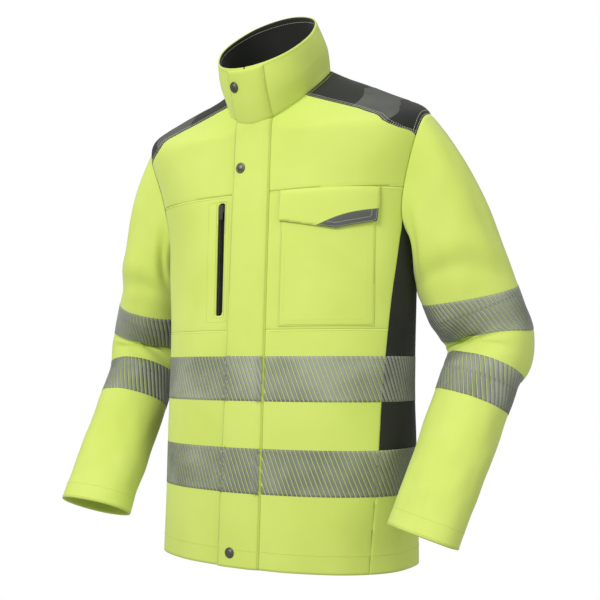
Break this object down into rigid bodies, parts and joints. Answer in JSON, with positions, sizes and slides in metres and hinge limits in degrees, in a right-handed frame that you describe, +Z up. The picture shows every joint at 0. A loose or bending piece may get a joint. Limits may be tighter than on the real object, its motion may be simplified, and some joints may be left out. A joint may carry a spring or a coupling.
{
  "type": "high-visibility work jacket",
  "caption": "Hip-length high-visibility work jacket with stand collar, storm flap over a front zip, chest pockets, bent sleeves and segmented reflective tapes.",
  "frame": {"origin": "midway between the two points where the shoulder seams meet the neck, at their height, which rests on the wearer's or the form's shoulders", "axes": "+Z up, the front of the jacket faces -Y, the wearer's left is +X"},
  "size_m": [0.718, 0.2774, 0.7981],
  "materials": {
    "yellow_shell": "matt fluorescent yellow woven polyester",
    "black_stretch": "matt black stretch fabric",
    "silver_tape": "silver retroreflective segmented tape",
    "grey_reflector": "dark grey retroreflective fabric",
    "zip_dark": "dark moulded zip teeth and sliders",
    "gunmetal": "gunmetal snap fasteners"
  },
  "bodies": {
    "torso": {"left_front_yoke": "yellow_shell", "left_chest_panel": "yellow_shell", "left_lower_front": "yellow_shell", "left_side_panel": "black_stretch", "left_side_hem": "yellow_shell", "left_shoulder_yoke": "black_stretch", "left_shoulder_reflector": "grey_reflector", "left_front_zip_tape": "black_stretch", "right_front_yoke": "yellow_shell", "right_chest_panel": "yellow_shell", "right_lower_front": "yellow_shell", "right_side_panel": "black_stretch", "right_side_hem": "yellow_shell", "right_shoulder_yoke": "black_stretch", "right_shoulder_reflector": "grey_reflector", "right_front_zip_tape": "black_stretch", "back_yoke": "yellow_shell", "back_panel": "yellow_shell", "collar": "yellow_shell", "collar_lining": "black_stretch", "hanger_loop": "black_stretch", "upper_body_tape": "silver_tape", "lower_body_tape": "silver_tape", "chest_pocket": "yellow_shell", "chest_zip_tape": "black_stretch", "chest_zip_teeth": "zip_dark", "chest_pocket_bag": "black_stretch", "front_zip_teeth": "zip_dark", "front_zip_box": "zip_dark", "collar_snap_stud": "gunmetal", "chest_snap_stud": "gunmetal", "hem_snap_stud": "gunmetal"},
    "storm_flap": {"storm_flap": "yellow_shell", "upper_flap_tape": "silver_tape", "lower_flap_tape": "silver_tape", "chest_snap_cap": "gunmetal", "chest_snap_socket": "gunmetal", "hem_snap_cap": "gunmetal", "hem_snap_socket": "gunmetal"},
    "collar_tab": {"collar_tab": "yellow_shell", "collar_snap_cap": "gunmetal", "collar_snap_socket": "gunmetal"},
    "pocket_flap": {"pocket_flap": "yellow_shell", "pocket_flap_trim": "grey_reflector"},
    "front_slider": {"front_zip_slider": "zip_dark"},
    "chest_slider": {"chest_zip_slider": "zip_dark"},
    "chest_pull": {"chest_zip_pull": "black_stretch"},
    "left_upper_sleeve": {"left_upper_sleeve": "yellow_shell", "left_upper_sleeve_tape": "silver_tape", "left_elbow_sleeve": "yellow_shell"},
    "left_lower_sleeve": {"left_lower_sleeve": "yellow_shell", "left_lower_sleeve_tape": "silver_tape", "left_cuff_facing": "yellow_shell"},
    "right_upper_sleeve": {"right_upper_sleeve": "yellow_shell", "right_upper_sleeve_tape": "silver_tape", "right_elbow_sleeve": "yellow_shell"},
    "right_lower_sleeve": {"right_lower_sleeve": "yellow_shell", "right_lower_sleeve_tape": "silver_tape", "right_cuff_facing": "yellow_shell"}
  },
  "joints": [
    {"name": "storm_flap_hinge", "type": "hinge", "parent": "torso", "child": "storm_flap", "pos_m": [0.0284, -0.12217, -0.4], "axis": [0, 0.0537, 0.9986], "range_deg": [0, 100]},
    {"name": "collar_tab_hinge", "type": "hinge", "parent": "torso", "child": "collar_tab", "pos_m": [0.0294, -0.11386, -0.04166], "axis": [0, -0.3432, 0.9393], "range_deg": [0, 80]},
    {"name": "pocket_flap_hinge", "type": "hinge", "parent": "torso", "child": "pocket_flap", "pos_m": [0.1141, -0.0993, -0.1785], "axis": [-0.9623, -0.2719, 0.003], "range_deg": [0, 100]},
    {"name": "front_zip_slide", "type": "slide", "parent": "torso", "child": "front_slider", "axis": [0, -0.054, -0.9985], "range_m": [0, 0.578]},
    {"name": "chest_zip_slide", "type": "slide", "parent": "torso", "child": "chest_slider", "axis": [0, -0.0502, -0.9987], "range_m": [0, 0.144]},
    {"name": "chest_pull_hinge", "type": "hinge", "parent": "chest_slider", "child": "chest_pull", "pos_m": [-0.0522, -0.10923, -0.1919], "axis": [-0.9937, 0.112, -0.0056], "range_deg": [0, 150]},
    {"name": "left_shoulder", "type": "hinge", "parent": "torso", "child": "left_upper_sleeve", "pos_m": [0.2358, -0.0184, -0.0722], "axis": [0, -1, 0], "range_deg": [0, 35]},
    {"name": "left_elbow", "type": "hinge", "parent": "left_upper_sleeve", "child": "left_lower_sleeve", "pos_m": [0.32622, 0.09094, -0.40249], "axis": [0.8669, -0.4491, 0.2164], "range_deg": [0, 40], "deforming": ["left_elbow_sleeve"]},
    {"name": "right_shoulder", "type": "hinge", "parent": "torso", "child": "right_upper_sleeve", "pos_m": [-0.2358, -0.0184, -0.0722], "axis": [0, 1, 0], "range_deg": [0, 35]},
    {"name": "right_elbow", "type": "hinge", "parent": "right_upper_sleeve", "child": "right_lower_sleeve", "pos_m": [-0.32622, 0.09094, -0.40249], "axis": [0.8669, 0.4491, -0.2164], "range_deg": [0, 40], "deforming": ["right_elbow_sleeve"]}
  ]
}
